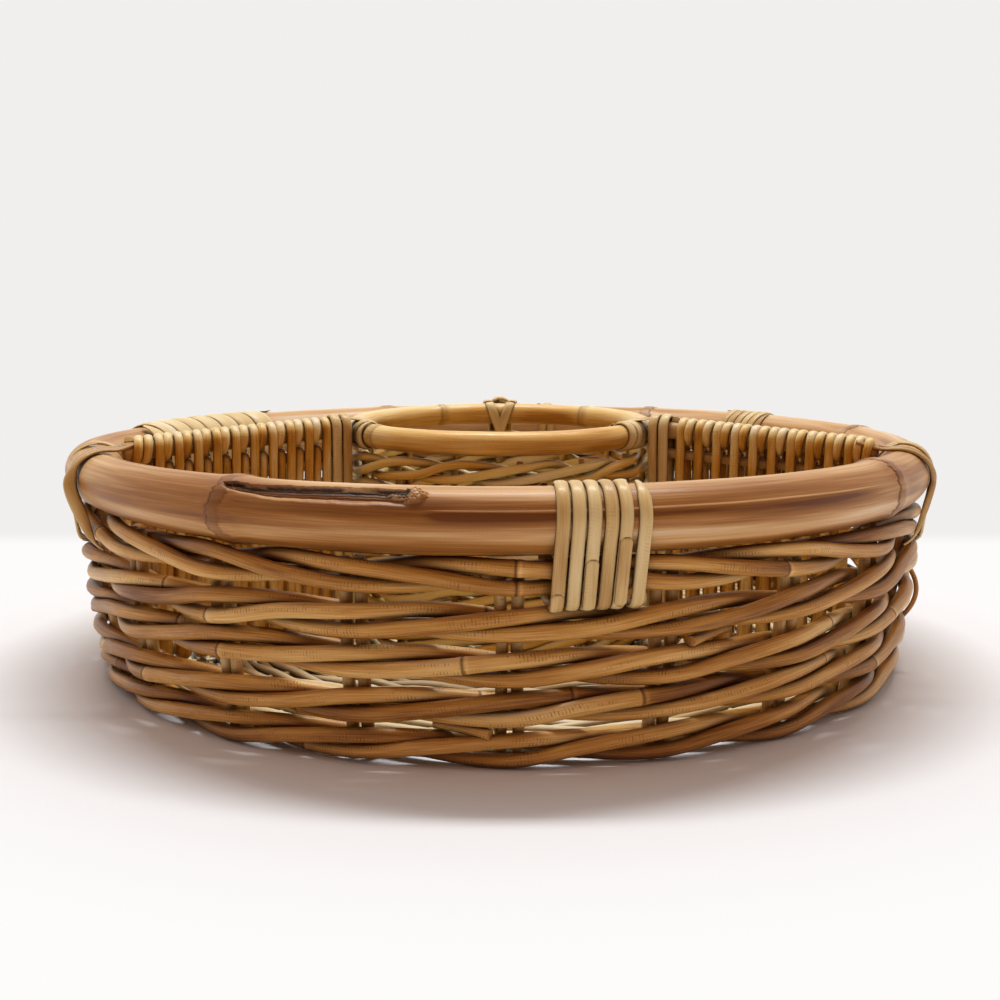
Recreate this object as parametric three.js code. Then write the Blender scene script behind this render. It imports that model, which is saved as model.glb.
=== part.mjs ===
// Round woven snack tray: a rattan pole rim lashed over a three-rod waled wall, with a raised
// dip cup in the middle and three reed-wrapped dividers from the cup to the rim.
// Millimetres, +Z up. The origin is the middle of the base on the table. The front faces -Y.
import * as THREE from "three";

// Driving dimensions
const CLEARANCE = 0.3;
const RIM_OUTER_DIAMETER = 380;
const RIM_POLE_DIAMETER = 23;
const RIM_HEIGHT = 86;
const RIM_NODE_SWELL = 0.8;
const STAKE_TRIOS = 7;
const STAKE_DIAMETER = 3.7;
const TWIN_STAKE_GAP = 2;
const STAKE_FIRST_ANGLE = 1;
const WALL_TUCK = 8;
const WEAVER_DIAMETER = 5.8;
const WEAVER_LAY_GAP = 0.55;
const WEAVER_BUTT_GAP = 1.2;
const BASE_THICKNESS = 7;
const BASE_RIBS = 6;
const BASE_RIB_DEPTH = 1.6;
const CUP_RING_RADIUS = 66;
const CUP_POLE_DIAMETER = 10.2;
const CUP_RING_HEIGHT = 100.4;
const CUP_RING_TILT = 1;
const CUP_WALL_THICKNESS = 5;
const CUP_RIBS = 6;
const CUP_RIB_DEPTH = 0.9;
const STRIP_THICKNESS = 1.2;
const LASH_STRIP_WIDTH = 4.4;
const LASH_PITCH = 5.2;
const SPLICE_STRIP_WIDTH = 11.6;
const SPLICE_PITCH = 13.2;
const DIVIDER_ANGLES = { left: -65, right: 65, back: 180 };
const DIVIDER_ROD_DIAMETER = 7.5;
const DIVIDER_FOOT_DIAMETER = 5;
const DIVIDER_CUP_RISE = 2.3;
const DIVIDER_RIM_RISE = 10.7;
const DIVIDER_LOOPS = 17;
const REED_WIDTH = 3.8;
const REED_THICKNESS = 2;
const REED_END_MARGIN = 5;

// Facet counts of the round forms
const POLE_SIDES = 8;
const WEAVER_SIDES = 5;
const RIM_STATIONS = 60;
const RING_STATIONS = 36;
const LATHE_STATIONS = 36;
const LASH_STEPS = 12;
const REED_STEPS = 10;

// Places along the circle, in degrees from the front, positive to the right
const RIM_NODE_ANGLES = [-36, 54, 150];
const SPLICE_ANGLE = -117;
const SPLICE_LOOPS = 8;
const RIM_LASH_LOOPS = 6;
const FRONT_LASH_BAY = 0;
const BACK_LASH_BAY = 7;
const END_LASH_LOOPS = 2;
const END_LASH_OFFSET = 9;
const CUP_LASH_LOOPS = 3;

// Worked out from the driving dimensions
const rimPoleRadius = RIM_POLE_DIAMETER / 2;
const rimRadius = RIM_OUTER_DIAMETER / 2 - rimPoleRadius;
const cupPoleRadius = CUP_POLE_DIAMETER / 2;
const weaverRadius = WEAVER_DIAMETER / 2;
const stakeRadius = STAKE_DIAMETER / 2;
const stakeCount = 3 * STAKE_TRIOS;
const stakeSpacing = (2 * Math.PI) / stakeCount;
const legOffset = stakeRadius + TWIN_STAKE_GAP / 2;
const lashSpread = 1 / Math.cos(Math.PI / LASH_STEPS);

// A weaver steps off the stake line by passOffset where it passes a stake. The straight run to the
// next bay brings it closer to the outer flank of the pair, so the step allows for that.
const bayHalf = (rimRadius * stakeSpacing) / 2;
const flankShare = 1 - (legOffset + stakeRadius) / bayHalf;
const passOffset = (stakeRadius + weaverRadius + CLEARANCE / 2) / flankShare;
const weaverLift = weaverRadius + WEAVER_LAY_GAP;
const rowHalfHeight = weaverLift + weaverRadius;

// Outermost reach of a lashing strip round a pole, and what must stay below it
const stripPath = (poleRadius) => (poleRadius + CLEARANCE + STRIP_THICKNESS / 2) * lashSpread;
const stripReach = (poleRadius) => stripPath(poleRadius) + STRIP_THICKNESS / 2;
const wallTop = RIM_HEIGHT - stripReach(rimPoleRadius) - CLEARANCE;

// The wall holds as many rows as fit with room between them for a lashing strip, spread evenly.
const lashRoom = stripReach(weaverRadius) - weaverRadius + CLEARANCE;
const waleRows = Math.floor((wallTop - CLEARANCE + lashRoom) / (2 * rowHalfHeight + lashRoom));
const firstRowHeight = rowHalfHeight + CLEARANCE;
const lastRowHeight = wallTop - rowHalfHeight;
const rowPitch = (lastRowHeight - firstRowHeight) / (waleRows - 1);
const rowHeight = (row) => firstRowHeight + row * rowPitch;

// The stake line leans out from the foot and stands upright under the rim.
const stakeLine = (z) => rimRadius - WALL_TUCK * (1 - Math.min(Math.max(z / wallTop, 0), 1)) ** 2;
const wallInside = (z) => stakeLine(z) - passOffset - weaverRadius;

const radians = THREE.MathUtils.degToRad;
const polar = (angle, radius, z) =>
  new THREE.Vector3(radius * Math.sin(angle), -radius * Math.cos(angle), z);
const outward = (angle) => polar(angle, 1, 0);
const alongRim = (angle) => new THREE.Vector3(Math.cos(angle), Math.sin(angle), 0);

// Materials
const skin = (color, roughness) =>
  new THREE.MeshStandardMaterial({ color, roughness, metalness: 0 });
const poleSkin = skin(0xb98a5e, 0.5);
const cupPoleSkin = skin(0xb98a45, 0.45);
const weaverSkin = skin(0xb5813f, 0.6);
const stakeSkin = skin(0xa06f38, 0.65);
const peelSkin = skin(0xdcc489, 0.55);
const reedSkin = skin(0xbf9350, 0.55);
const baseSkin = skin(0xe2cd9c, 0.7);

const tray = new THREE.Group();
function addPiece(name, geometry, material) {
  const mesh = new THREE.Mesh(geometry, material);
  mesh.name = name;
  tray.add(mesh);
}

// Sections, counter-clockwise in their own plane
function roundSection(radius, sides) {
  return Array.from({ length: sides }, (_, i) => {
    const turn = (2 * Math.PI * (i + 0.5)) / sides;
    return [radius * Math.cos(turn), radius * Math.sin(turn)];
  });
}
function stripSection(width, thickness) {
  const w = width / 2;
  const t = thickness / 2;
  return [
    [-w, -t],
    [w, -t],
    [w, t],
    [-w, t],
  ];
}

// Frames along a path: the side axis stays as near as it can to sideAt(i).
function framesAlong(points, sideAt, closed) {
  const last = points.length - 1;
  return points.map((point, i) => {
    const before = points[closed ? (i + last) % points.length : Math.max(i - 1, 0)];
    const after = points[closed ? (i + 1) % points.length : Math.min(i + 1, last)];
    const forward = after.clone().sub(before).normalize();
    const side = sideAt(i).clone();
    side.addScaledVector(forward, -side.dot(forward)).normalize();
    return { point, side, rise: forward.clone().cross(side) };
  });
}

// Rings of points: the section carried along the frames, with a scale for each frame.
function ringsAlong(frames, section, scaleAt = () => 1) {
  return frames.map(({ point, side, rise }, i) =>
    section.map(([a, b]) =>
      point
        .clone()
        .addScaledVector(side, a * scaleAt(i))
        .addScaledVector(rise, b * scaleAt(i)),
    ),
  );
}

// A closed skin over rings, either joined end to start or capped at both ends.
function skinOver(rings, closed) {
  const sides = rings[0].length;
  const index = [];
  const vertex = (ring, side) => (ring % rings.length) * sides + (side % sides);
  const spans = closed ? rings.length : rings.length - 1;
  for (let ring = 0; ring < spans; ring++) {
    for (let side = 0; side < sides; side++) {
      const a = vertex(ring, side);
      const b = vertex(ring, side + 1);
      const c = vertex(ring + 1, side + 1);
      const d = vertex(ring + 1, side);
      index.push(a, b, c, a, c, d);
    }
  }
  if (!closed) {
    const end = rings.length - 1;
    for (let side = 1; side < sides - 1; side++) {
      index.push(vertex(0, 0), vertex(0, side + 1), vertex(0, side));
      index.push(vertex(end, 0), vertex(end, side), vertex(end, side + 1));
    }
  }
  const geometry = new THREE.BufferGeometry();
  geometry.setAttribute(
    "position",
    new THREE.Float32BufferAttribute(rings.flat().flatMap((p) => p.toArray()), 3),
  );
  geometry.setIndex(index);
  geometry.computeVertexNormals();
  return geometry;
}

// A straight round rod
function rod(from, to, diameter) {
  const frames = framesAlong([from, to], () => new THREE.Vector3(0, 0, 1), false);
  return skinOver(ringsAlong(frames, roundSection(diameter / 2, POLE_SIDES)), false);
}

// Outer rim: one thick rattan pole bent to a hoop, swollen at its growth nodes.
{
  const angles = Array.from({ length: RIM_STATIONS }, (_, i) => (2 * Math.PI * i) / RIM_STATIONS);
  const points = angles.map((angle) => polar(angle, rimRadius, RIM_HEIGHT));
  const frames = framesAlong(points, () => new THREE.Vector3(0, 0, 1), true);
  const nodeReach = Math.PI / RIM_STATIONS;
  const isNode = (angle) =>
    RIM_NODE_ANGLES.some((node) => Math.cos(angle - radians(node)) > Math.cos(nodeReach));
  const swell = (i) => (isNode(angles[i]) ? 1 + RIM_NODE_SWELL / RIM_POLE_DIAMETER : 1);
  const rings = ringsAlong(frames, roundSection(rimPoleRadius, POLE_SIDES), swell);
  addPiece("outer_rim", skinOver(rings, true), poleSkin);
}

// Side stakes: each is one thin rod bent to a hairpin, standing as a pair of legs.
const stakeAngle = (index) => radians(STAKE_FIRST_ANGLE) + index * stakeSpacing;
{
  const footHeight = stakeRadius + CLEARANCE;
  const bendHeight = footHeight + legOffset;
  const legHeights = [wallTop, (wallTop + bendHeight) / 2, (wallTop + 3 * bendHeight) / 4, bendHeight];
  for (let index = 0; index < stakeCount; index++) {
    const angle = stakeAngle(index);
    const place = (offset, z) =>
      polar(angle, stakeLine(z), z).addScaledVector(alongRim(angle), offset);
    const down = legHeights.map((z) => place(-legOffset, z));
    const up = legHeights.map((z) => place(legOffset, z)).reverse();
    const points = [...down, place(0, footHeight), ...up];
    const frames = framesAlong(points, () => outward(angle), false);
    const rings = ringsAlong(frames, roundSection(stakeRadius, WEAVER_SIDES));
    const name = "stake_pair_" + String(index + 1).padStart(2, "0");
    addPiece(name, skinOver(rings, false), stakeSkin);
  }
}

// Wale: in each row three weavers follow each other round. Each passes behind one stake pair and
// in front of the next two, low on the first and high on the second, so the floats rise to the right.
const atStake = [
  { out: -passOffset, up: 0 },
  { out: passOffset, up: -weaverLift },
  { out: passOffset, up: weaverLift },
];
const inBay = [
  { out: 0, up: -weaverLift },
  { out: passOffset, up: 0 },
  { out: 0, up: weaverLift },
];
function weaver(row, firstStake) {
  const stations = 2 * stakeCount;
  const start = stakeAngle(firstStake);
  const trim = WEAVER_BUTT_GAP / 2 / (rimRadius - passOffset);
  const points = [];
  for (let station = 0; station <= stations; station++) {
    const phase = Math.floor(station / 2) % 3;
    const { out, up } = station % 2 ? inBay[phase] : atStake[phase];
    const z = rowHeight(row) + up;
    const inset = station === 0 ? trim : station === stations ? -trim : 0;
    points.push(polar(start + (station * stakeSpacing) / 2 + inset, stakeLine(z) + out, z));
  }
  const frames = framesAlong(points, () => new THREE.Vector3(0, 0, 1), false);
  return skinOver(ringsAlong(frames, roundSection(weaverRadius, WEAVER_SIDES)), false);
}
for (let row = 0; row < waleRows; row++) {
  ["a", "b", "c"].forEach((letter, strand) => {
    const firstStake = (4 * row + 7 * strand) % stakeCount;
    addPiece("wale_row_" + (row + 1) + "_" + letter, weaver(row, firstStake), weaverSkin);
  });
}

// Base: a flat woven mat with a ring of ribs on its upper face for each round of the weave.
{
  const radius = wallInside(BASE_THICKNESS) - CLEARANCE;
  const footRadius = wallInside(0) - CLEARANCE;
  const profile = [new THREE.Vector2(0, 0), new THREE.Vector2(footRadius, 0)];
  profile.push(new THREE.Vector2(radius, BASE_THICKNESS - BASE_RIB_DEPTH));
  for (let rib = BASE_RIBS - 1; rib >= 0; rib--) {
    const crest = (radius * (2 * rib + 1)) / (2 * BASE_RIBS);
    const valley = (radius * rib) / BASE_RIBS;
    profile.push(new THREE.Vector2(crest, BASE_THICKNESS));
    profile.push(new THREE.Vector2(valley, BASE_THICKNESS - BASE_RIB_DEPTH));
  }
  addPiece("base_mat", new THREE.LatheGeometry(profile, LATHE_STATIONS).rotateX(Math.PI / 2), baseSkin);
}

// Dip cup: a ring pole over a woven sleeve that stands on the base. The ring sits higher at the back.
const cupRingHeight = (angle) => CUP_RING_HEIGHT - CUP_RING_TILT * Math.cos(angle);
const cupWallFoot = BASE_THICKNESS + CLEARANCE;
const cupWallTop = CUP_RING_HEIGHT - CUP_RING_TILT - stripReach(cupPoleRadius) - CLEARANCE;
const cupOutside = CUP_RING_RADIUS + CUP_WALL_THICKNESS / 2;
{
  const points = Array.from({ length: RING_STATIONS }, (_, i) => {
    const angle = (2 * Math.PI * i) / RING_STATIONS;
    return polar(angle, CUP_RING_RADIUS, cupRingHeight(angle));
  });
  const frames = framesAlong(points, () => new THREE.Vector3(0, 0, 1), true);
  const rings = ringsAlong(frames, roundSection(cupPoleRadius, POLE_SIDES));
  addPiece("cup_ring", skinOver(rings, true), cupPoleSkin);

  const inside = CUP_RING_RADIUS - CUP_WALL_THICKNESS / 2;
  const ribHeight = (cupWallTop - cupWallFoot) / CUP_RIBS;
  const profile = [new THREE.Vector2(inside, cupWallFoot)];
  for (let rib = 0; rib < CUP_RIBS; rib++) {
    const foot = cupWallFoot + rib * ribHeight;
    profile.push(new THREE.Vector2(cupOutside - CUP_RIB_DEPTH, foot));
    profile.push(new THREE.Vector2(cupOutside, foot + ribHeight / 2));
  }
  profile.push(new THREE.Vector2(cupOutside - CUP_RIB_DEPTH, cupWallTop));
  profile.push(new THREE.Vector2(inside, cupWallTop));
  profile.push(profile[0].clone());
  addPiece("cup_wall", new THREE.LatheGeometry(profile, LATHE_STATIONS).rotateX(Math.PI / 2), weaverSkin);
}

// Windings
// The tight path of a strip round some round rods: for each direction, the point of the farthest rod.
function aroundRods(rods, direction) {
  const reach = (r) => r.out * direction.x + r.up * direction.y + r.radius;
  const farthest = rods.reduce((best, r) => (reach(r) > reach(best) + CLEARANCE / 100 ? r : best));
  return {
    out: farthest.out + farthest.radius * direction.x,
    up: farthest.up + farthest.radius * direction.y,
  };
}
const turnDirection = (step, steps) => {
  const turn = Math.PI / 2 - (2 * Math.PI * step) / steps;
  return new THREE.Vector2(Math.cos(turn), Math.sin(turn));
};

// The least gap between loops, measured between the corner points of stations half a loop or more apart
function leastGap(rings, steps) {
  let least = Infinity;
  for (let i = 0; i < rings.length; i++) {
    for (let j = i + Math.ceil(steps / 2); j < rings.length; j++) {
      for (const p of rings[i]) {
        for (const q of rings[j]) least = Math.min(least, p.distanceTo(q));
      }
    }
  }
  return least;
}
function winding(name, points, sideAt, section, steps, material) {
  const rings = ringsAlong(framesAlong(points, sideAt, false), section);
  console.log(name + ": least gap to itself " + leastGap(rings, steps).toFixed(2) + " mm");
  addPiece(name, skinOver(rings, false), material);
}

// Lashings: a flat strip of peel wound round the poles listed in rodsAt, side by side along a circle.
// They lean left on the way down, or right where lean is 1.
function lashing(name, circleRadius, middleAngle, loops, width, pitch, rodsAt, lean = -1) {
  const stations = loops * LASH_STEPS;
  const stepAngle = pitch / LASH_STEPS / circleRadius;
  const middleStation = (stations - 1) / 2;
  const angleAt = (i) => middleAngle + lean * (i - middleStation) * stepAngle;
  const angles = Array.from({ length: stations }, (_, i) => angleAt(i));
  const points = angles.map((angle, i) => {
    const { out, up } = aroundRods(rodsAt(angle), turnDirection(i, LASH_STEPS));
    return polar(angle, out, up);
  });
  const section = stripSection(width, STRIP_THICKNESS);
  winding(name, points, (i) => alongRim(angles[i]), section, LASH_STEPS, peelSkin);
}
const rimAlone = () => [{ out: rimRadius, up: RIM_HEIGHT, radius: stripPath(rimPoleRadius) }];
const topRow = lastRowHeight - weaverLift;
const rimAndTopRow = () => [
  ...rimAlone(),
  { out: stakeLine(topRow) + passOffset, up: topRow, radius: stripPath(weaverRadius) },
  { out: stakeLine(topRow) - passOffset, up: topRow, radius: stripPath(weaverRadius) },
];
const cupRingAlone = (angle) => [
  { out: CUP_RING_RADIUS, up: cupRingHeight(angle), radius: stripPath(cupPoleRadius) },
];
const bayMiddle = (bay) => (stakeAngle(bay) + stakeAngle(bay + 1)) / 2;
const rimLash = [LASH_STRIP_WIDTH, LASH_PITCH];
lashing("lashing_front", rimRadius, bayMiddle(FRONT_LASH_BAY), RIM_LASH_LOOPS, ...rimLash, rimAndTopRow);
lashing("lashing_back", rimRadius, bayMiddle(BACK_LASH_BAY), RIM_LASH_LOOPS, ...rimLash, rimAndTopRow);
lashing(
  "splice_binding",
  rimRadius,
  radians(SPLICE_ANGLE),
  SPLICE_LOOPS,
  SPLICE_STRIP_WIDTH,
  SPLICE_PITCH,
  rimAlone,
  1,
);

// Dividers: a top rod between ring and rim, a foot rod on the base, and one reed wound along them.
// Odd loops hug the top rod, even loops run down round the foot rod as well. At the rim each side
// divider is tied to the top row of the wall too. The back one ends over a stake and is tied to the rim.
const dividerCupHeight = CUP_RING_HEIGHT + DIVIDER_CUP_RISE;
const dividerRimHeight = RIM_HEIGHT + DIVIDER_RIM_RISE;
for (const [side, degrees] of Object.entries(DIVIDER_ANGLES)) {
  const angle = radians(degrees);
  const rodRadius = DIVIDER_ROD_DIAMETER / 2;
  const footRadius = DIVIDER_FOOT_DIAMETER / 2;
  const reedSpread = 1 / Math.cos(Math.PI / REED_STEPS);
  const reedPath = (radius) => (radius + CLEARANCE + REED_THICKNESS / 2) * reedSpread;
  const rimSeat = DIVIDER_RIM_RISE - rodRadius;
  const rodStart = CUP_RING_RADIUS + stripReach(cupPoleRadius) + CLEARANCE;
  const seatReach = Math.sqrt(Math.max(rimPoleRadius ** 2 - rimSeat ** 2, 0));
  const rodEnd = rimRadius - seatReach - CLEARANCE;
  const footHeight = BASE_THICKNESS + CLEARANCE + REED_THICKNESS / 2 + reedPath(footRadius);
  const footStart = cupOutside + CLEARANCE;
  const footEnd = wallInside(footHeight - footRadius) - CLEARANCE;
  const rodHeight = (radius) =>
    THREE.MathUtils.mapLinear(radius, rodStart, rodEnd, dividerCupHeight, dividerRimHeight);

  const topRod = rod(
    polar(angle, rodStart, dividerCupHeight),
    polar(angle, rodEnd, dividerRimHeight),
    DIVIDER_ROD_DIAMETER,
  );
  addPiece("divider_" + side + "_rod", topRod, reedSkin);
  const footRod = rod(
    polar(angle, footStart, footHeight),
    polar(angle, footEnd, footHeight),
    DIVIDER_FOOT_DIAMETER,
  );
  addPiece("divider_" + side + "_foot", footRod, reedSkin);

  const weaveStart = rodStart + REED_END_MARGIN;
  const weaveEnd = Math.min(wallInside(0), footEnd) - REED_END_MARGIN;
  const stations = DIVIDER_LOOPS * REED_STEPS;
  const points = Array.from({ length: stations }, (_, i) => {
    const radius = THREE.MathUtils.mapLinear(i, 0, stations - 1, weaveStart, weaveEnd);
    const rods = [{ out: 0, up: rodHeight(radius), radius: reedPath(rodRadius) }];
    const isLong = Math.floor(i / REED_STEPS) % 2 === 0;
    if (isLong) rods.push({ out: 0, up: footHeight, radius: reedPath(footRadius) });
    const { out, up } = aroundRods(rods, turnDirection(i, REED_STEPS));
    return polar(angle, radius, up).addScaledVector(alongRim(angle), out);
  });
  const section = stripSection(REED_WIDTH, REED_THICKNESS);
  winding("divider_" + side + "_reed", points, () => outward(angle), section, REED_STEPS, reedSkin);

  const isSide = Math.abs(degrees) < 90;
  const endRods = isSide ? rimAndTopRow : rimAlone;
  const endLashAngle = angle + (isSide ? Math.sign(degrees) : -1) * radians(END_LASH_OFFSET);
  lashing("lashing_" + side + "_end", rimRadius, endLashAngle, END_LASH_LOOPS, ...rimLash, endRods);
  lashing("lashing_" + side + "_cup", CUP_RING_RADIUS, angle, CUP_LASH_LOOPS, ...rimLash, cupRingAlone);
}

export default tray;
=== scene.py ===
import math
import random
from functools import partial

import bpy
import numpy as np
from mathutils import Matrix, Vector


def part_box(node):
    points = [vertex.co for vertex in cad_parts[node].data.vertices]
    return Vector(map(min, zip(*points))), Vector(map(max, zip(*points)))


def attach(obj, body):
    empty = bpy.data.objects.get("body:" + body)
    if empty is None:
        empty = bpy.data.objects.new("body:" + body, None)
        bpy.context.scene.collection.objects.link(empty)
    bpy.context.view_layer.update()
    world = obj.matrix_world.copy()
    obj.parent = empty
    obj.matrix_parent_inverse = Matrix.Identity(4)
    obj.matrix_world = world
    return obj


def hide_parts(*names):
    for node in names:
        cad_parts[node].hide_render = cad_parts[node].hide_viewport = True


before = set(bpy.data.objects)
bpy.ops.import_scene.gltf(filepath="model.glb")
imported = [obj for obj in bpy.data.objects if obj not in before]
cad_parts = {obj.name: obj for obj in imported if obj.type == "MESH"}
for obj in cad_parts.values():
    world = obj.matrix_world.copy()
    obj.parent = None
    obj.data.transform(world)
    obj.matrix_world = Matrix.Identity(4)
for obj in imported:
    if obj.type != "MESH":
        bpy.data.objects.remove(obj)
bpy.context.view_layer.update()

# View of the tray
# The eye is a little above the rim, close to the table, as someone reaching for a snack sees it.
# Lengths in this file are millimetres, turned to metres where an object is made.
MM = 0.001
EYE_DISTANCE = 600.0
EYE_HEIGHT = 154.9
EYE_TILT = math.radians(8.4)
FOCAL_SHARE = 1.3
SENSOR_WIDTH = 36.0

eye = bpy.data.objects.new("eye", bpy.data.cameras.new("eye"))
eye.data.sensor_width = SENSOR_WIDTH
eye.data.lens = SENSOR_WIDTH * FOCAL_SHARE
eye.data.clip_start = 10 * MM
eye.location = (0, -EYE_DISTANCE * MM, EYE_HEIGHT * MM)
eye.rotation_euler = (math.pi / 2 - EYE_TILT, 0, 0)
bpy.context.scene.collection.objects.link(eye)
bpy.context.scene.camera = eye
bpy.context.scene.view_settings.view_transform = "Standard"


# Table, room and light
# A white table against a white wall, under one long soft lamp up behind the tray, so the shadow
# falls towards the viewer. The room in front is dim and warm, which browns the shadow.
def linear(hex_colour):
    """An sRGB hex colour as linear red, green, blue and full cover."""
    parts = [int(hex_colour[i : i + 2], 16) / 255 for i in (1, 3, 5)]
    return tuple(c / 12.92 if c <= 0.04045 else ((c + 0.055) / 1.055) ** 2.4 for c in parts) + (1.0,)


def add(tree, kind, settings=None, inputs=None):
    """A new node of a kind, with its settings, and its inputs either linked or set."""
    made = tree.nodes.new("ShaderNode" + kind)
    for key, value in (settings or {}).items():
        if key == "ramp":
            elements = made.color_ramp.elements
            for place, (position, colour) in enumerate(value):
                stop = elements[place] if place < 2 else elements.new(position)
                stop.position = position
                stop.color = linear(colour)
        else:
            setattr(made, key, value)
    for key, value in (inputs or {}).items():
        if isinstance(value, bpy.types.NodeSocket):
            tree.links.new(value, made.inputs[key])
        else:
            made.inputs[key].default_value = value
    return made


TABLE_COLOUR = "#f3f5f8"
TABLE_FAR_COLOUR = "#fdfcfb"
TABLE_HALF_WIDTH = 4000.0
TABLE_FADE_FROM = 205.0
TABLE_FADE_TO = 315.0
WALL_COLOUR = "#f1efed"
WALL_FROM = 240.0
WALL_TO = 300.0
WARM_ROOM_COLOUR = "#9c745e"
WARM_FROM = 0.1
WARM_TO = -0.6
ROOM_STRENGTH = 0.63
LAMP_WIDTH = 2000.0
LAMP_DEPTH = 260.0
LAMP_HEIGHT = 2600.0
LAMP_BEHIND = 764.0
LAMP_RIGHT = 90.0
LAMP_POWER = 54.0

# Matt white painted board: it takes the shadow near the tray, looks an even white further out and turns
# into the wall behind. The even white is for the eye only, and throws no light on the tray.
white_board = bpy.data.materials.new("matt_white_board")
white_board.use_nodes = True
board_tree = white_board.node_tree
board_tree.nodes.clear()
spot = add(board_tree, "TexCoord").outputs["Object"]
reach = add(board_tree, "VectorMath", {"operation": "LENGTH"}, {0: spot}).outputs["Value"]
behind = add(board_tree, "SeparateXYZ", inputs={0: spot}).outputs["Y"]
soft = {"interpolation_type": "SMOOTHSTEP"}
fade_span = {0: reach, 1: TABLE_FADE_FROM * MM, 2: TABLE_FADE_TO * MM}
fade = add(board_tree, "MapRange", soft, fade_span).outputs[0]
corner = add(board_tree, "MapRange", soft, {0: behind, 1: WALL_FROM * MM, 2: WALL_TO * MM}).outputs[0]
far_colours = {0: corner, 6: linear(TABLE_FAR_COLOUR), 7: linear(WALL_COLOUR)}
far = add(board_tree, "Mix", {"data_type": "RGBA"}, far_colours).outputs[2]
paint = add(board_tree, "BsdfDiffuse", inputs={"Color": linear(TABLE_COLOUR)}).outputs[0]
even_white = add(board_tree, "Emission", inputs={"Color": far, "Strength": 1.0}).outputs[0]
sight = add(board_tree, "LightPath").outputs
looked_at = sight["Is Camera Ray"]
for other in ("Is Glossy Ray", "Is Transmission Ray"):
    looked_at = add(board_tree, "Math", {"operation": "MAXIMUM"}, {0: looked_at, 1: sight[other]}).outputs[0]
white_share = add(board_tree, "Math", {"operation": "MULTIPLY"}, {0: fade, 1: looked_at}).outputs[0]
faded = add(board_tree, "MixShader", inputs={0: white_share, 1: paint, 2: even_white}).outputs[0]
add(board_tree, "OutputMaterial", inputs={"Surface": faded})

half = TABLE_HALF_WIDTH * MM
corners = [(-half, -half, 0), (half, -half, 0), (half, half, 0), (-half, half, 0)]
board = bpy.data.meshes.new("table_top")
board.from_pydata(corners, [], [(0, 1, 2, 3)])
board.materials.append(white_board)
table_top = bpy.data.objects.new("table_top", board)
bpy.context.scene.collection.objects.link(table_top)

room = bpy.data.worlds.new("white_room")
bpy.context.scene.world = room
room.use_nodes = True
room_tree = room.node_tree
room_tree.nodes.clear()
sight = add(room_tree, "LightPath").outputs
seen_by = {0: sight["Is Camera Ray"], 1: sight["Is Transmission Ray"]}
seen = add(room_tree, "Math", {"operation": "MAXIMUM"}, seen_by).outputs[0]
towards = add(room_tree, "TexCoord").outputs["Generated"]
towards = add(room_tree, "SeparateXYZ", inputs={0: towards}).outputs["Y"]
front = add(room_tree, "MapRange", inputs={0: towards, 1: WARM_FROM, 2: WARM_TO}).outputs[0]
dimmed = add(room_tree, "MapRange", inputs={0: sight["Is Glossy Ray"], 3: ROOM_STRENGTH, 4: 1.0}).outputs[0]
lights = []
for colour, strength in ((WALL_COLOUR, dimmed), (WARM_ROOM_COLOUR, 1.0), (WALL_COLOUR, 1.0)):
    light = add(room_tree, "Background", inputs={"Color": linear(colour), "Strength": strength})
    lights.append(light.outputs[0])
wall_light, warm_light, backdrop = lights
room_light = add(room_tree, "MixShader", inputs={0: front, 1: wall_light, 2: warm_light}).outputs[0]
either = add(room_tree, "MixShader", inputs={0: seen, 1: room_light, 2: backdrop}).outputs[0]
add(room_tree, "OutputWorld", inputs={"Surface": either})

lamp = bpy.data.objects.new("soft_lamp", bpy.data.lights.new("soft_lamp", "AREA"))
lamp.data.shape = "RECTANGLE"
lamp.data.size = LAMP_WIDTH * MM
lamp.data.size_y = LAMP_DEPTH * MM
lamp.data.energy = LAMP_POWER
lamp.location = (LAMP_RIGHT * MM, LAMP_BEHIND * MM, LAMP_HEIGHT * MM)
lamp.rotation_euler = (-math.atan2(LAMP_BEHIND, LAMP_HEIGHT), 0, 0)
bpy.context.scene.collection.objects.link(lamp)


# Outer rim
# One thick rattan pole, its skin left on, steamed and bent to a hoop whose ends are scarfed together.
# Growth nodes ring it, and in front the skin has torn out along the grain up to a scaly knot.
def polar(angle, radius, z):
    """Points at an angle from the front, positive to the right, at a radius and a height."""
    angle, radius, z = np.broadcast_arrays(angle, radius, z)
    return np.stack([radius * np.sin(angle), -radius * np.cos(angle), z], axis=-1).astype(float)


def along_rim(angle):
    """Directions along the circle towards growing angle."""
    angle = np.asarray(angle, float)
    return np.stack([np.cos(angle), np.sin(angle), 0 * angle], axis=-1)


def drift(places, wavelength, seed):
    """A smooth wandering value from -1 to 1 along some places, the same for the same seed."""
    chance = random.Random(seed)
    places = np.asarray(places, float)
    total = 0 * places
    shares = (1.0, 0.53, 0.31)
    for share in shares:
        turn = 2 * math.pi * places / (wavelength * share * chance.uniform(0.9, 1.1))
        total = total + share * np.sin(turn + chance.uniform(0, 2 * math.pi))
    return total / sum(shares)


def hump(places, middle, half_width):
    """A smooth hump of height 1 round a place."""
    return np.exp(-(((np.asarray(places, float) - middle) / half_width) ** 2))


def step(places, low, high):
    """A smooth step from 0 at low to 1 at high."""
    share = np.clip((np.asarray(places, float) - low) / (high - low), 0, 1)
    return share * share * (3 - 2 * share)


def unit(vectors):
    """Vectors brought to length 1."""
    return vectors / np.linalg.norm(vectors, axis=-1, keepdims=True)


def round_section(sides):
    """Points round a circle of radius 1."""
    turn = 2 * np.pi * (np.arange(sides) + 0.5) / sides
    return np.stack([np.cos(turn), np.sin(turn)], axis=-1)


def lengths_along(points):
    """Distance of each point from the first, along the line."""
    return np.concatenate([[0], np.cumsum(np.linalg.norm(np.diff(points, axis=0), axis=1))])


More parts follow.
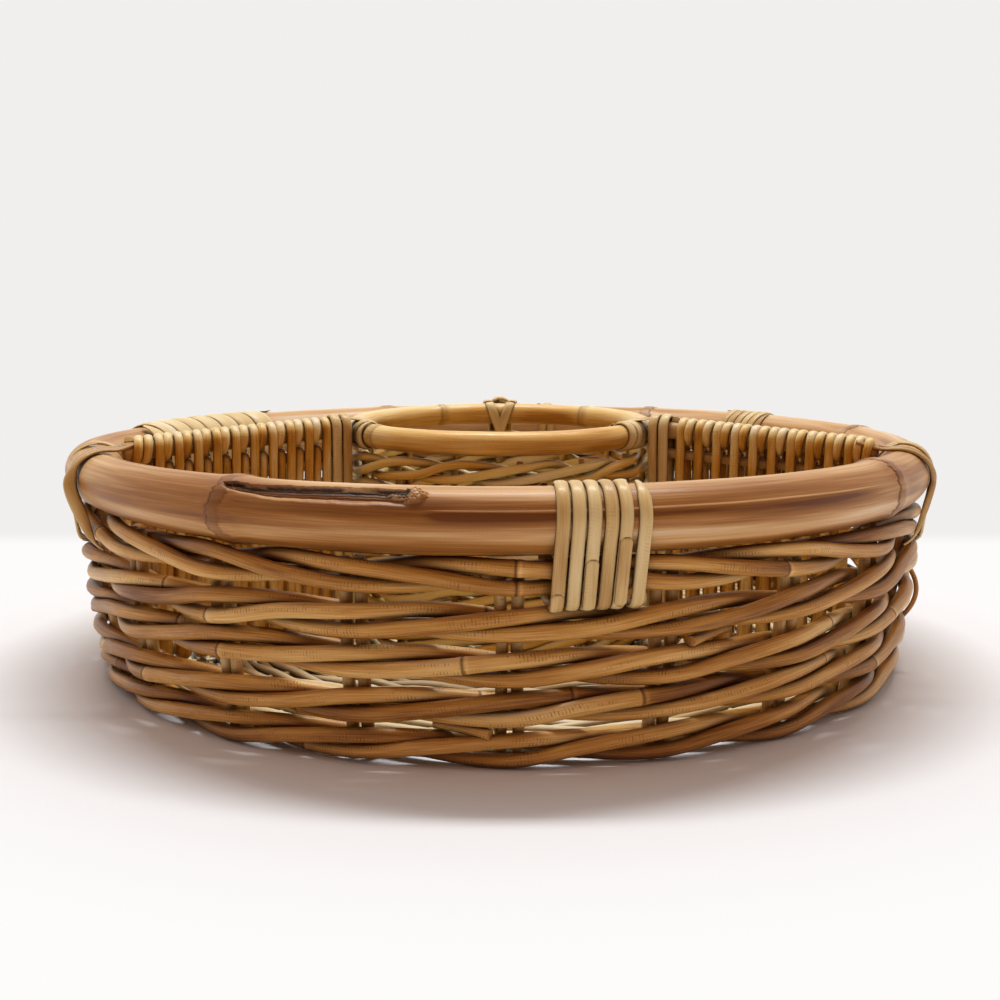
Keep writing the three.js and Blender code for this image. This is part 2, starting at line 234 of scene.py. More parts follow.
def tube(points, radius, side, section, closed=False, start=0.0, tone=0.0, mark=0.0, split_and_shade=0.0):
    """A skin swept along points. The section lies in the plane of side and of the direction across it.
    Each point keeps its place in the rod, across and along the grain, and its wear and its painted light
    and shade, for the finish."""
    points = np.asarray(points, float)
    count, sides = len(points), len(section)
    if closed:
        ahead = unit(np.roll(points, -1, 0) - np.roll(points, 1, 0))
    else:
        ahead = unit(np.gradient(points, axis=0))
    side = np.broadcast_to(side, points.shape)
    side = unit(side - ahead * (side * ahead).sum(1, keepdims=True))
    rise = np.cross(ahead, side)
    radius = np.asarray(radius, float)
    radius = np.broadcast_to(radius[:, None] if radius.ndim == 1 else radius, (count, sides))
    ring = section[None] * radius[..., None]
    skin = points[:, None] + ring[..., :1] * side[:, None] + ring[..., 1:] * rise[:, None]
    length = np.broadcast_to((lengths_along(points) + start)[:, None, None], (count, sides, 1))
    grain = np.concatenate([ring, length], axis=-1)
    worn_and_lit = [np.asarray(value, float) for value in (mark, split_and_shade, tone)]
    worn_and_lit = [value[:, None] if value.ndim == 1 else value for value in worn_and_lit]
    wear_and_light = np.stack([np.broadcast_to(value, (count, sides)) for value in worn_and_lit], axis=-1)
    place = np.arange(count * sides).reshape(count, sides)
    if closed:
        place = np.concatenate([place, place[:1]])
    a, d = place[:-1], place[1:]
    faces = np.stack([a, np.roll(a, -1, 1), np.roll(d, -1, 1), d], axis=-1).reshape(-1, 4).tolist()
    if not closed:
        faces += [place[0, ::-1].tolist(), place[-1].tolist()]
    return skin.reshape(-1, 3), faces, grain.reshape(-1, 3), wear_and_light.reshape(-1, 3)


def rod(points, radius, side, section, chamfer=0.35, **values):
    """An open rod with both cut ends eased."""
    points = np.asarray(points, float)
    radius = np.broadcast_to(np.asarray(radius, float), len(points))
    first, last = unit(points[0] - points[1]), unit(points[-1] - points[-2])
    before, after = points[:1] + first * chamfer * radius[0], points[-1:] + last * chamfer * radius[-1]
    points = np.concatenate([before, points, after])
    radius = np.concatenate([radius[:1] * (1 - chamfer), radius, radius[-1:] * (1 - chamfer)])
    for key in ("mark", "split_and_shade", "tone"):
        if key in values and np.ndim(values[key]) == 1:
            values[key] = np.concatenate([values[key][:1], values[key], values[key][-1:]])
    side = np.asarray(side, float)
    if side.ndim == 2:
        side = np.concatenate([side[:1], side, side[-1:]])
    return tube(points, radius, side, section, **values)


def piece(name, skins, material, slot, *nodes):
    """One object of several swept skins, riding on the tray in place of its plain solids."""
    points, faces, grain, wear_and_light = [], [], [], []
    for skin_points, skin_faces, skin_grain, skin_wear_and_light in skins:
        offset = sum(map(len, points))
        points.append(skin_points)
        faces += [[corner + offset for corner in face] for face in skin_faces]
        grain.append(skin_grain)
        wear_and_light.append(skin_wear_and_light)
    mesh = bpy.data.meshes.new(name)
    mesh.from_pydata((np.concatenate(points) * MM).tolist(), [], faces)
    for key, values in (("rod", grain), ("wear_and_light", wear_and_light)):
        layer = mesh.attributes.new(key, "FLOAT_VECTOR", "POINT")
        layer.data.foreach_set("vector", np.concatenate(values).astype(np.float32).ravel())
    mesh.polygons.foreach_set("use_smooth", [len(face) == 4 for face in faces])
    mesh.materials.append(material)
    made = bpy.data.objects.new(name, mesh)
    bpy.context.scene.collection.objects.link(made)
    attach(made, "root")
    if nodes:
        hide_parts(*nodes)


# The palest end of every ramp: a cream that painted highlights lift the colour to.
PAINTED_HIGHLIGHT_CREAM = "#fff1d6"
# Dark brown of splits and torn fibres, also painted as shade into the slit of the rim's tear.
SPLIT_AND_SHADE_BROWN = "#2b120a"
# Deep brown for painted shade in creases and where rods touch.
CREVICE_SHADE_BROWN = "#260a02"
DARK_STOP, MIDDLE_STOP, PALE_STOP, HIGHLIGHT_STOP = 0.38, 0.5, 0.62, 0.82
LACQUER_SHARE = 0.12
FIBRE_DEPTH = 0.2


def rattan(name, pale, middle, dark, bark_and_shade, fibre, streaks, blotch, cracks, gloss, stain_and_crevice_shade=0.88):
    """Rattan, lacquered: vessels run along it as fine streaks, in blotches of honey to brown, running to a
    cream where painted highlights lift it. The skin is crazed across the grain, and painted shade darkens
    it in creases and where rods touch, found by an occlusion test. fibre is a streak's width and blotch a
    patch's length, in mm, and the last argument is how dark that painted shade gets. Real vessels and
    real crazing are about 0.3 mm apart. Both are drawn coarser, to show."""
    streak_length = 40 * fibre
    blotch_width = 8.0
    tick_spacing = 1.2
    crazed_width, crazed_length = 2.2, 22.0
    speck = 1.6
    crevice_reach = 5.0
    times, scaled = {"operation": "MULTIPLY"}, {"operation": "MULTIPLY_ADD"}
    material = bpy.data.materials.new(name)
    material.use_nodes = True
    tree = material.node_tree
    tree.nodes.clear()
    grain = add(tree, "Attribute", {"attribute_name": "rod"}).outputs["Vector"]
    worn_and_lit = add(tree, "Attribute", {"attribute_name": "wear_and_light"}).outputs["Vector"]
    mark, split_and_shade, lighter = add(tree, "SeparateXYZ", inputs={0: worn_and_lit}).outputs
    noises = []
    for across, length, detail in (
        (fibre, streak_length, 4.0),
        (blotch_width, blotch, 2.0),
        (crazed_width, crazed_length, 2.0),
        (speck, speck, 1.0),
    ):
        stretch = (1 / across, 1 / across, 1 / length)
        place = add(tree, "VectorMath", times, {0: grain, 1: stretch})
        made = add(tree, "TexNoise", inputs={"Vector": place.outputs[0], "Scale": 1.0, "Detail": detail})
        noises.append(made.outputs["Fac"])
    streak, patch, crazed, broken = noises
    shade = add(tree, "Math", {"operation": "ADD"}, {0: patch, 1: lighter}).outputs[0]
    shade = add(tree, "Math", scaled, {0: streak, 1: streaks, 2: shade}).outputs[0]
    even = 0.5 + streaks / 2
    shade = add(tree, "Math", scaled, {0: shade, 1: 0.5, 2: 0.5 - even / 2}).outputs[0]
    stops = [(DARK_STOP, dark), (PALE_STOP, pale), (MIDDLE_STOP, middle), (HIGHLIGHT_STOP, PAINTED_HIGHLIGHT_CREAM)]
    colour = add(tree, "ValToRGB", {"ramp": stops}, {0: shade}).outputs[0]
    along = add(tree, "SeparateXYZ", inputs={0: grain}).outputs["Z"]
    along = add(tree, "Math", scaled, {0: patch, 1: 4 * tick_spacing, 2: along}).outputs[0]
    ticks = add(tree, "Math", times, {0: along, 1: 2 * math.pi / tick_spacing}).outputs[0]
    ticks = add(tree, "Math", {"operation": "SINE"}, {0: ticks}).outputs[0]
    ticks = add(tree, "MapRange", inputs={0: ticks, 1: 0.2, 2: 0.9}).outputs[0]
    broken = add(tree, "MapRange", inputs={0: broken, 1: 0.36, 2: 0.6}).outputs[0]
    crazed = add(tree, "MapRange", inputs={0: crazed, 1: 0.5, 2: 0.62, 3: 0.0, 4: cracks}).outputs[0]
    cracked = add(tree, "Math", times, {0: ticks, 1: crazed}).outputs[0]
    cracked = add(tree, "Math", times, {0: cracked, 1: broken}).outputs[0]
    # Painted shade: darker towards a deep brown where the occlusion test finds other surfaces close by.
    open_share = add(tree, "AmbientOcclusion", {"samples": 4}, {"Distance": crevice_reach * MM}).outputs["AO"]
    painted_crevice_shade = add(tree, "MapRange", inputs={0: open_share, 1: 0.3, 2: 0.97, 3: stain_and_crevice_shade, 4: 0.0}).outputs[0]
    for share, other in ((cracked, bark_and_shade), (mark, bark_and_shade), (split_and_shade, SPLIT_AND_SHADE_BROWN), (painted_crevice_shade, CREVICE_SHADE_BROWN)):
        mixed = add(tree, "Mix", {"data_type": "RGBA"}, {0: share, 6: colour, 7: linear(other)})
        colour = mixed.outputs[2]
    rough = add(tree, "MapRange", inputs={0: streak, 1: 0.3, 2: 0.7, 3: gloss, 4: gloss + 0.15}).outputs[0]
    lacquer = add(tree, "MapRange", inputs={0: mark, 1: 0.1, 2: 0.5, 3: LACQUER_SHARE, 4: 0.0}).outputs[0]
    height = add(tree, "Math", scaled, {0: cracked, 1: -1.0, 2: streak}).outputs[0]
    relief = add(tree, "Bump", inputs={"Strength": 0.5, "Distance": FIBRE_DEPTH * MM, "Height": height})
    skin = add(
        tree,
        "BsdfPrincipled",
        inputs={
            "Base Color": colour,
            "Roughness": rough,
            "Specular IOR Level": 0.3,
            "Normal": relief.outputs[0],
            "Coat Weight": lacquer,
            "Coat Roughness": 0.2,
        },
    )
    add(tree, "OutputMaterial", inputs={"Surface": skin.outputs[0]})
    return material


rim_low, rim_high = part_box("outer_rim")
RIM_Z = (rim_low.z + rim_high.z) / 2 / MM
RIM_OUTSIDE = 190.0
RIM_POLE_RADIUS = 11.5
RIM_RADIUS = RIM_OUTSIDE - RIM_POLE_RADIUS
SPLICE_ANGLE = math.radians(-117)
RIM_THIN_SHARE = 0.09
RIM_THIN_SPAN = (25.0, 70.0)
RIM_THIN_END = -126.0
RIM_WANDER = 0.12
RIM_BULGE = 4.0
RIM_BULGE_ANGLE = -86.0
RIM_BULGE_SPAN = 20.0
RIM_STATIONS = 540
RIM_SIDES = 100
UP = (0, 0, 1)
RIM_NODES = [(-30.6, 0.7), (53.3, 0.8), (101.0, 0.6), (151.0, 0.7), (-158.0, 0.6)]
NODE_BAND = 7.0
NODE_BAND_RISE = 0.18
NODE_SWELL_SPAN = 6.5
NODE_GROOVE = 0.3
# The waves of a node's ragged edge: height, length and seed.
NODE_RAGS = [(1.5, 31.0, 0), (0.9, 6.1, 1), (0.4, 2.3, 4)]
NODE_SPAN = 3.5
NODE_STATIONS = 36
TEAR_ANGLES = [-31.0, -29.6, -25.0, -20.0, -15.0, -8.0]
TEAR_TOPS = [57.0, 61.0, 62.0, 67.0, 70.0, 67.0]
TEAR_FEET = [50.0, 40.0, 31.0, 28.5, 29.5, 28.5]
TEAR_OPENS = (-31.0, -30.2)
TEAR_CLOSES = (-9.5, -8.6)
TEAR_SKIN = 0.6
TEAR_DEPTH = 2.1
TEAR_SPAN = (-34.0, -5.0)
TEAR_STATIONS = 300
TEAR_SIDE_SPAN = (14.0, 76.0)
TEAR_SIDES = 70
KNOT_ANGLE = -9.2
KNOT_TURN = 54.0
KNOT_HALF_LENGTH = 7.2
KNOT_HALF_WIDTH = 3.3
KNOT_RISE = 1.3
RIDGE_STARTS = (-8.0, -5.0)
RIDGE_ENDS = (40.0, 50.0)
RIDGE_RISE = 0.2
RIDGE_TURN = 25.0
# Painted light in bands along the pole: a painted highlight along the top, a paler painted reflection low
# on its outer side, and painted shade as a darker band between. How strong, how far above its outer side
# in degrees, how wide.
RIM_PAINTED_LIGHT_BANDS = [(0.22, 74.0, 24.0), (0.09, -28.0, 18.0), (-0.06, 45.0, 14.0)]

# Rattan pole with its skin on, scraped and lacquered: tan to brown in long streaks, with a soft gloss.
pole_skin = rattan(
    "rattan_pole_skin",
    "#dcad70",
    "#ab702e",
    "#723e12",
    "#6a3a12",
    fibre=0.7,
    streaks=0.34,
    blotch=120.0,
    cracks=0.1,
    gloss=0.38,
    stain_and_crevice_shade=0.35,
)
steps = [np.linspace(-180, 180, RIM_STATIONS, endpoint=False), np.linspace(*TEAR_SPAN, TEAR_STATIONS)]
steps += [np.linspace(node - NODE_SPAN, node + NODE_SPAN, NODE_STATIONS) for node, _ in RIM_NODES]
since_splice = np.unique(np.round((np.concatenate(steps) - math.degrees(SPLICE_ANGLE)) % 360, 4))
turns = SPLICE_ANGLE + np.radians(since_splice)
degrees = (np.degrees(turns) + 180) % 360 - 180
arc = np.radians(degrees) * RIM_RADIUS
even_sides = np.linspace(0, 360, RIM_SIDES, endpoint=False) + 0.11
from_top = np.sort(np.concatenate([even_sides, np.linspace(*TEAR_SIDE_SPAN, TEAR_SIDES)]))
section = np.stack([np.cos(np.radians(from_top)), np.sin(np.radians(from_top))], axis=-1)
around = np.radians(from_top) * RIM_POLE_RADIUS
above = 90 - np.where(from_top > 180, from_top - 360, from_top)

thin = step(-degrees, *RIM_THIN_SPAN) * (degrees > RIM_THIN_END)
pole = RIM_POLE_RADIUS * (1 - RIM_THIN_SHARE * thin) + RIM_WANDER * drift(arc, 170, 3)
pole = np.repeat(pole[:, None], len(section), axis=1)
bark_and_shade, torn_and_slit_shade, tone = 0 * pole, 0 * pole, 0 * pole

# Growth nodes: each a swelling under a ragged band of bark, grooved along its left edge.
for node_degrees, swell in RIM_NODES:
    past = arc - math.radians(node_degrees) * RIM_RADIUS
    ragged = sum(size * drift(around, length, node_degrees + seed) for size, length, seed in NODE_RAGS)
    left = -NODE_BAND / 2 + ragged
    right = NODE_BAND / 2 * (0.75 + 0.4 * drift(around, 40, node_degrees + 2)) + ragged
    past, left, right = past[:, None], left[None], right[None]
    band = step(past, left - 0.25, left + 0.25) * (1 - step(past, right - 0.5, right + 0.5))
    pole += swell * hump(past, 0, NODE_SWELL_SPAN) + NODE_BAND_RISE * band
    pole -= NODE_GROOVE * hump(past, left, 0.4)
    stain_and_crevice_shade = np.clip(0.36 + 0.3 * drift(around, 12, node_degrees + 3), 0.1, 0.6)[None]
    bark_and_shade += stain_and_crevice_shade * band + 0.7 * hump(past, left, 0.5) + 0.12 * hump(past, right, 0.6)
    tone += -0.03 * hump(past, 6, 9)

# The tear: skin gone between two wandering edges, bared fibres, and a slit under the upper edge, cut in
# and painted near black as shade.
tops = np.interp(degrees, TEAR_ANGLES, TEAR_TOPS) + 1.6 * drift(arc, 17, 11) + 0.8 * drift(arc, 4.3, 12)
feet = np.interp(degrees, TEAR_ANGLES, TEAR_FEET) + 1.6 * drift(arc, 26, 13) + 0.3 * drift(arc, 5, 14)
share = (above[None] - feet[:, None]) / (tops - feet)[:, None]
open_here = step(degrees, *TEAR_OPENS) * (1 - step(degrees, *TEAR_CLOSES))
within = open_here[:, None] * (1 - step(share, 0.97, 1.02))
cut = within * step(share, 0.0, 0.25)
groove = within * step(share, 0.22, 0.34)
slit = within * hump(share, 0.84, 0.2)
fibres = drift(share * 6 + 0.4 * drift(arc, 34, 15)[:, None], 1.0, 16)
pole -= TEAR_SKIN * cut + groove * (0.5 + 0.4 * fibres) + (TEAR_DEPTH - 1.1) * slit
bark_and_shade += 0.12 * groove
# The slit is painted dark, painted shade under the overhanging edge; the fibres are their own dark lines.
torn_and_slit_shade += np.clip(groove * (0.1 - 1.1 * fibres) + 1.2 * slit, 0, 0.95)
tone += 0.26 * cut - 0.2 * groove

# The knot at the right end of the tear, domed and scaly.
knot_long = (arc - math.radians(KNOT_ANGLE) * RIM_RADIUS)[:, None]
knot_wide = (np.radians(above - KNOT_TURN) * RIM_POLE_RADIUS)[None]
knot_edge = 1 + 0.18 * drift(np.arctan2(knot_wide / KNOT_HALF_WIDTH, knot_long / KNOT_HALF_LENGTH), 2.1, 17)
knot = 1 - step(np.hypot(knot_long / KNOT_HALF_LENGTH, knot_wide / KNOT_HALF_WIDTH) / knot_edge, 0.72, 1.0)
scales = drift(knot_long + 0.8 * knot_wide, 2.6, 18) * drift(knot_long - 1.7 * knot_wide, 3.1, 19)
pole += knot * (KNOT_RISE + 0.7 * scales)
bark_and_shade += 0.06 * knot + 0.3 * hump(knot, 0.5, 0.2)
torn_and_slit_shade += 0.55 * knot * np.clip(-3.2 * scales - 0.15, 0, 1)
tone += 0.2 * knot

# A fine raised line along the front, with a painted highlight on its edge and painted shade below it.
along_ridge = (step(degrees, *RIDGE_STARTS) * (1 - step(degrees, *RIDGE_ENDS)))[:, None]
ridge_line = RIDGE_TURN + 0.8 * drift(arc, 130, 20)[:, None]
pole += RIDGE_RISE * along_ridge * hump(above[None], ridge_line, 1.6)
lit_edge, shaded_edge = hump(above[None], ridge_line, 1.4), hump(above[None], ridge_line - 10, 9)
tone += 0.3 * along_ridge * (lit_edge - shaded_edge)

# Painted light and shade: a painted highlight along the top and a stronger one at the back, a paler
# painted reflection low on the face in front and painted shade darkening the middle of the front face.
# Paler too on the upper side at the left, and tone that wanders at random.
in_front = step(degrees, -34, -26) * (1 - step(degrees, 50, 60))
tone += 0.1 * in_front[:, None] * hump(above, -13, 15)[None]
tone -= 0.12 * hump(degrees, 2, 16)[:, None] * step(above, 45, 30)[None]
for strength, middle, half_width in RIM_PAINTED_LIGHT_BANDS:
    tone += strength * hump(above, middle, half_width)[None]
tone += 0.12 * hump(degrees, -64, 18)[:, None] * step(above, -20, 40)[None]
tone += 0.07 * drift(arc, 240, 22)[:, None] + 0.06 * drift(above, 37, 23)[None]
tone += 0.34 * step(np.abs(degrees), 95, 140)[:, None] * step(above, -10, 50)[None]

bulge = RIM_BULGE * hump(degrees, RIM_BULGE_ANGLE, RIM_BULGE_SPAN) + 0.5 * drift(arc, 420, 4)
rim_line = polar(turns, RIM_RADIUS + bulge, RIM_Z + 0.4 * drift(arc, 560, 5))
rim_tube = tube(
    rim_line,
    pole,
    UP,
    section,
    closed=True,
    tone=tone,
    mark=np.clip(bark_and_shade, 0, 0.95),
    split_and_shade=np.clip(torn_and_slit_shade, 0, 0.95),
)
piece("rim_pole", [rim_tube], pole_skin, "rim_pole", "outer_rim")


# Base mat
# The floor of the tray: pale peeled core rods laid out as spokes, and one long weaver that runs over
# and under them, round after round, from the middle to the wall. It lies flat on the table.
_, base_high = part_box("base_mat")
BASE_RADIUS = base_high.x / MM
STAKE_COUNT = 21
STAKE_FIRST_ANGLE = math.radians(1)
BASE_HUB_RADIUS = 16.0
BASE_SPOKE_RADIUS = 1.35
BASE_WEAVER_RADIUS = 1.75
BASE_ROUND_PITCH = 3.9
BASE_MIDDLE_Z = 3.4
BASE_STEPS_PER_SPOKE = 6
BASE_EDGE = 4.5
BASE_OVER_UNDER = 1.55
SPOKE_START = 2.0
SPOKE_END_GAP = 2.5
HUB_START = 3.0
HUB_GAP = 2.5
HUB_LIFT = 1.2
HUB_TURNS = 4.3
HUB_POINTS = 220

# Peeled rattan core, unstained: pale straw, dull, with faint darker rounds.
core_skin = rattan(
    "pale_rattan_core",
    "#fff3d2",
    "#f4dfb0",
    "#d3b070",
    "#8a6433",
    fibre=0.4,
    streaks=0.3,
    blotch=60.0,
    cracks=0.1,
    gloss=0.5,
)
ROD_SECTION = round_section(8)
spokes = []
for spoke in range(STAKE_COUNT):
    angle = STAKE_FIRST_ANGLE + 2 * math.pi * spoke / STAKE_COUNT
    line = polar(angle, np.linspace(SPOKE_START, BASE_RADIUS - SPOKE_END_GAP, 24), BASE_MIDDLE_Z)
    tone = 0.1 * math.sin(7 * spoke)
    spokes.append(rod(line, BASE_SPOKE_RADIUS, UP, ROD_SECTION, start=400.0 * spoke, tone=tone))
rounds = (BASE_RADIUS + BASE_EDGE - BASE_HUB_RADIUS - BASE_WEAVER_RADIUS) / BASE_ROUND_PITCH
turn = np.arange(0, rounds * STAKE_COUNT * BASE_STEPS_PER_SPOKE) / (STAKE_COUNT * BASE_STEPS_PER_SPOKE)
over_under = BASE_OVER_UNDER * np.cos(np.pi * STAKE_COUNT * turn)
mat_angle = STAKE_FIRST_ANGLE + 2 * np.pi * turn
path = polar(mat_angle, BASE_HUB_RADIUS + BASE_ROUND_PITCH * turn, BASE_MIDDLE_Z + over_under)
mat_weaver = rod(path, BASE_WEAVER_RADIUS, UP, ROD_SECTION, tone=0.16 * drift(turn * 6, 1.0, 31))
hub_turn = np.linspace(0, 2 * np.pi * HUB_TURNS, HUB_POINTS)
hub_reach = np.linspace(HUB_START, BASE_HUB_RADIUS - HUB_GAP, HUB_POINTS)
hub_path = polar(hub_turn, hub_reach, BASE_MIDDLE_Z + HUB_LIFT)
hub = rod(hub_path, BASE_WEAVER_RADIUS, UP, ROD_SECTION, start=9000.0)
piece("base_weave", spokes + [mat_weaver, hub], core_skin, "base_mat", "base_mat")


# Side stakes
# Pairs of thin core rods that stand up from the edge of the base and carry the weaving of the wall.
# They lean out a little and end under the rim.
STAKE_RADIUS = 2.25
STAKE_APART = 5.7
STAKE_FOOT = 2.2
STAKE_TOP_GAP = 0.5
STAKE_WANDER = 0.5
WALL_TUCK = 8.0
_, stake_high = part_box("stake_pair_01")
WALL_TOP = stake_high.z / MM


def stake_line(z):
    """Radius of the line of stakes at a height."""
    return RIM_RADIUS - WALL_TUCK * (1 - np.clip(np.asarray(z, float) / WALL_TOP, 0, 1)) ** 2


# Rattan core rod, smoked: dull golden brown.
stake_skin = rattan(
    "smoked_rattan_core",
    "#f0d296",
    "#dbb06c",
    "#a87a3c",
    "#51300f",
    fibre=0.4,
    streaks=0.4,
    blotch=50.0,
    cracks=0.4,
    gloss=0.45,
    stain_and_crevice_shade=0.35,
)
stake_angles = STAKE_FIRST_ANGLE + 2 * np.pi * np.arange(STAKE_COUNT) / STAKE_COUNT
for index, angle in enumerate(stake_angles):
    heights = np.linspace(STAKE_FOOT, WALL_TOP - STAKE_TOP_GAP, 16)
    legs = []
    for leg, offset in enumerate((-STAKE_APART / 2, STAKE_APART / 2)):
        lean = STAKE_WANDER * drift(heights, 90, 40 + 2 * index + leg)
        line = polar(angle, stake_line(heights), heights) + (offset + lean)[:, None] * along_rim(angle)
        start, tone = 300.0 * (2 * index + leg), 0.15 * math.sin(3.0 * index + 2.0 * leg)
        legs.append(rod(line, STAKE_RADIUS, polar(angle, 1, 0), ROD_SECTION, start=start, tone=tone))
    piece(f"stakes_{index + 1:02d}", legs, stake_skin, "stake", f"stake_pair_{index + 1:02d}")


# Waled wall
# Three round rattan rods to a row, each behind one pair of stakes and in front of the next two in turn,
# like rope. The top row is laid the other way. Skin left on, smoked tan to brown, ends cut and tucked.
WEAVER_RADIUS = 2.85
WEAVER_PASS = 5.4
WEAVER_LIFT = 3.25
WALE_ROWS = 5
WALE_STEPS = 8
WEAVER_SECTION = round_section(14)
RING_SPACING = 170.0
RING_POINTS = [-2.4, -1.2, -0.7, -0.35, 0, 0.35, 0.7, 1.2, 2.4]
ROW_WANDER = 1.7
EDGE_ROW_SHARE = 0.35
STRAND_WANDER = 0.9
ROW_RISES = [0.3, -0.3, 0.4, 1.0, 2.2]
ROW_TWISTS = [1, 1, 1, 1, -1]
THICKNESS_SPREAD = 0.08
TABLE_GAP = 0.2

# Round rattan rod with its skin, smoked and lacquered: golden to red-brown, growth rings as thin dark
# lines, and fine crazing across the grain.
weaver_skin = rattan(
    "smoked_rattan_rod",
    "#f6ca7c",
    "#cf9544",
    "#88521a",
    "#5a2c10",
    fibre=0.42,
    streaks=0.5,
    blotch=85.0,
    cracks=0.6,
    gloss=0.34,
)
row_boxes = [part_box(f"wale_row_{row + 1}_a") for row in range(WALE_ROWS)]
row_heights = [(low.z + high.z) / 2 / MM + rise for (low, high), rise in zip(row_boxes, ROW_RISES)]


def eased(values, places):
    """Values eased through a closed round of stations, at places between them."""
    values = np.asarray(values, float)
    station = np.floor(places).astype(int)
    t = places - station
    a, b, c, d = (values[(station + shift) % len(values)] for shift in (-1, 0, 1, 2))
    slope, bend = 0.5 * (c - a), a - 2.5 * b + 2 * c - 0.5 * d
    return b + t * slope + t**2 * bend + t**3 * (1.5 * (b - c) + 0.5 * (d - a))


def wale_line(stakes, first_angle, first_stake, row_z, line, pass_out, lift, places, wander, seed):
    """Centre line of one weaver: behind a stake, low in front of the next and high in front of a third."""
    chance = random.Random(seed)
    outs, ups = [], []
    for station in range(2 * stakes):
        phase = (station // 2) % 3
        if station % 2:
            out, up = ((0, -lift), (pass_out, 0), (0, lift))[phase]
        else:
            out, up = ((-pass_out, 0), (pass_out, -lift), (pass_out, lift))[phase]
        outs.append(out + wander * chance.uniform(-0.5, 0.5))
        ups.append(up + wander * chance.uniform(-1, 1))
    angle = first_angle + 2 * np.pi * (first_stake + places / 2) / stakes
    z = row_z(angle) + eased(ups, places)
    return polar(angle, line(z) + eased(outs, places), z)


def ripple(angle, seed):
    """A wandering value from -1 to 1 that closes on itself round the tray."""
    chance = random.Random(seed)
    waves = ((2, 0.5), (3, 0.3), (5, 0.2))
    return sum(share * np.sin(count * angle + chance.uniform(0, 2 * math.pi)) for count, share in waves)


def wall_row_height(row, angle):
    """Height of a row of the wall, which wanders a little round the tray."""
    share = 1 if 0 < row < WALE_ROWS - 1 else EDGE_ROW_SHARE
    return row_heights[row] + ROW_WANDER * share * ripple(angle, 90 + row)


last_station = 2 * STAKE_COUNT
station_length = math.pi * RIM_RADIUS / STAKE_COUNT
for row in range(WALE_ROWS):
    for strand, letter in enumerate("abc"):
        seed = 100 + 3 * row + strand
        chance = random.Random(seed)
        rings = [chance.uniform(0, RING_SPACING)]
        while rings[-1] < (last_station - 1) * station_length:
            rings.append(rings[-1] + RING_SPACING * chance.uniform(0.5, 1.4))
        rings = np.array(rings[:-1]) / station_length
        near_rings = (rings[:, None] + np.array(RING_POINTS) / station_length).ravel()
        places = np.concatenate([np.arange(0, last_station - 0.04, 1 / WALE_STEPS), near_rings])
        places = np.unique(np.clip(places, 0, last_station - 0.06))
        line = wale_line(
            STAKE_COUNT,
            STAKE_FIRST_ANGLE,
            (4 * row + 7 * strand) % STAKE_COUNT,
            partial(wall_row_height, row),
            stake_line,
            WEAVER_PASS,
            WEAVER_LIFT * ROW_TWISTS[row],
            places,
            STRAND_WANDER,
            seed,
        )
        # A growth ring is a thin dark line on a slight collar, with a pale lip beside it.
        away = (places[:, None] - rings) * station_length
        ring = hump(away, 0, 0.45).max(axis=1)
        collar = hump(away, 0, 2.0).max(axis=1)
        pale_lip = hump(away, 1.5, 0.8).max(axis=1)
        joint_tones = np.array([chance.uniform(-0.13, 0.13) for _ in range(len(rings) + 1)])
        tone = joint_tones[np.searchsorted(rings, places)] + 0.06 * drift(places, 9, seed + 50)
        tone += 0.14 * pale_lip
        girth = 1 + THICKNESS_SPREAD * chance.uniform(-1, 0.6) + 0.04 * drift(places, 5, seed)
        thick = WEAVER_RADIUS * girth + 0.22 * collar - 0.12 * ring
        line[:, 2] = np.maximum(line[:, 2], thick + TABLE_GAP)
        wear_and_light = {"tone": tone, "mark": 0.85 * ring, "split_and_shade": 0.15 * ring}
        skin = rod(line, thick, UP, WEAVER_SECTION, start=1500.0 * seed, **wear_and_light)
        piece(f"weaver_{row + 1}_{letter}", [skin], weaver_skin, "weaver", f"wale_row_{row + 1}_{letter}")

STUB_RADIUS = 2.0
STUB_LENGTH = 20.0
STUB_DEPTH = 1.5
STUB_REACH = 8.2
# Cut ends between two rows: degrees round the tray, the row below, and the way each one points.
STUBS = [(-66.0, 1, -1), (-7.5, 0, 1), (27.0, 2, -1), (118.0, 1, 1), (-140.0, 2, -1), (164.0, 3, 1)]
stub_skins = []
for number, (stub_degrees, row, way) in enumerate(STUBS):
    share = np.linspace(0, 1, 8)
    z = (row_heights[row] + row_heights[row + 1]) / 2 + 0.6 - 1.2 * share
    angle = math.radians(stub_degrees) + way * share * STUB_LENGTH / RIM_RADIUS
    line = polar(angle, stake_line(z) - STUB_DEPTH + STUB_REACH * share**1.5, z)
    tone = 0.08 * way
    stub_skins.append(rod(line, STUB_RADIUS, UP, WEAVER_SECTION, 0.12, start=70.0 * number, tone=tone))
LOOP_ANGLE = math.radians(75.5)
LOOP_ROD_RADIUS = 1.1
LOOP_ROW = 3
LOOP_START = 5.0
LOOP_DROP = 28.0
LOOP_REACH = 8.5
drop = np.linspace(0, 1, 24)
z = row_heights[LOOP_ROW] - LOOP_START - LOOP_DROP * drop
line = polar(LOOP_ANGLE - 0.02 * drop, stake_line(z) + 2 + LOOP_REACH * np.sin(np.pi * drop) ** 0.7, z)
stub_skins.append(rod(line, LOOP_ROD_RADIUS, polar(LOOP_ANGLE, 1, 0), ROD_SECTION, start=900.0, tone=-0.1))
piece("weaver_ends", stub_skins, weaver_skin, "weaver")


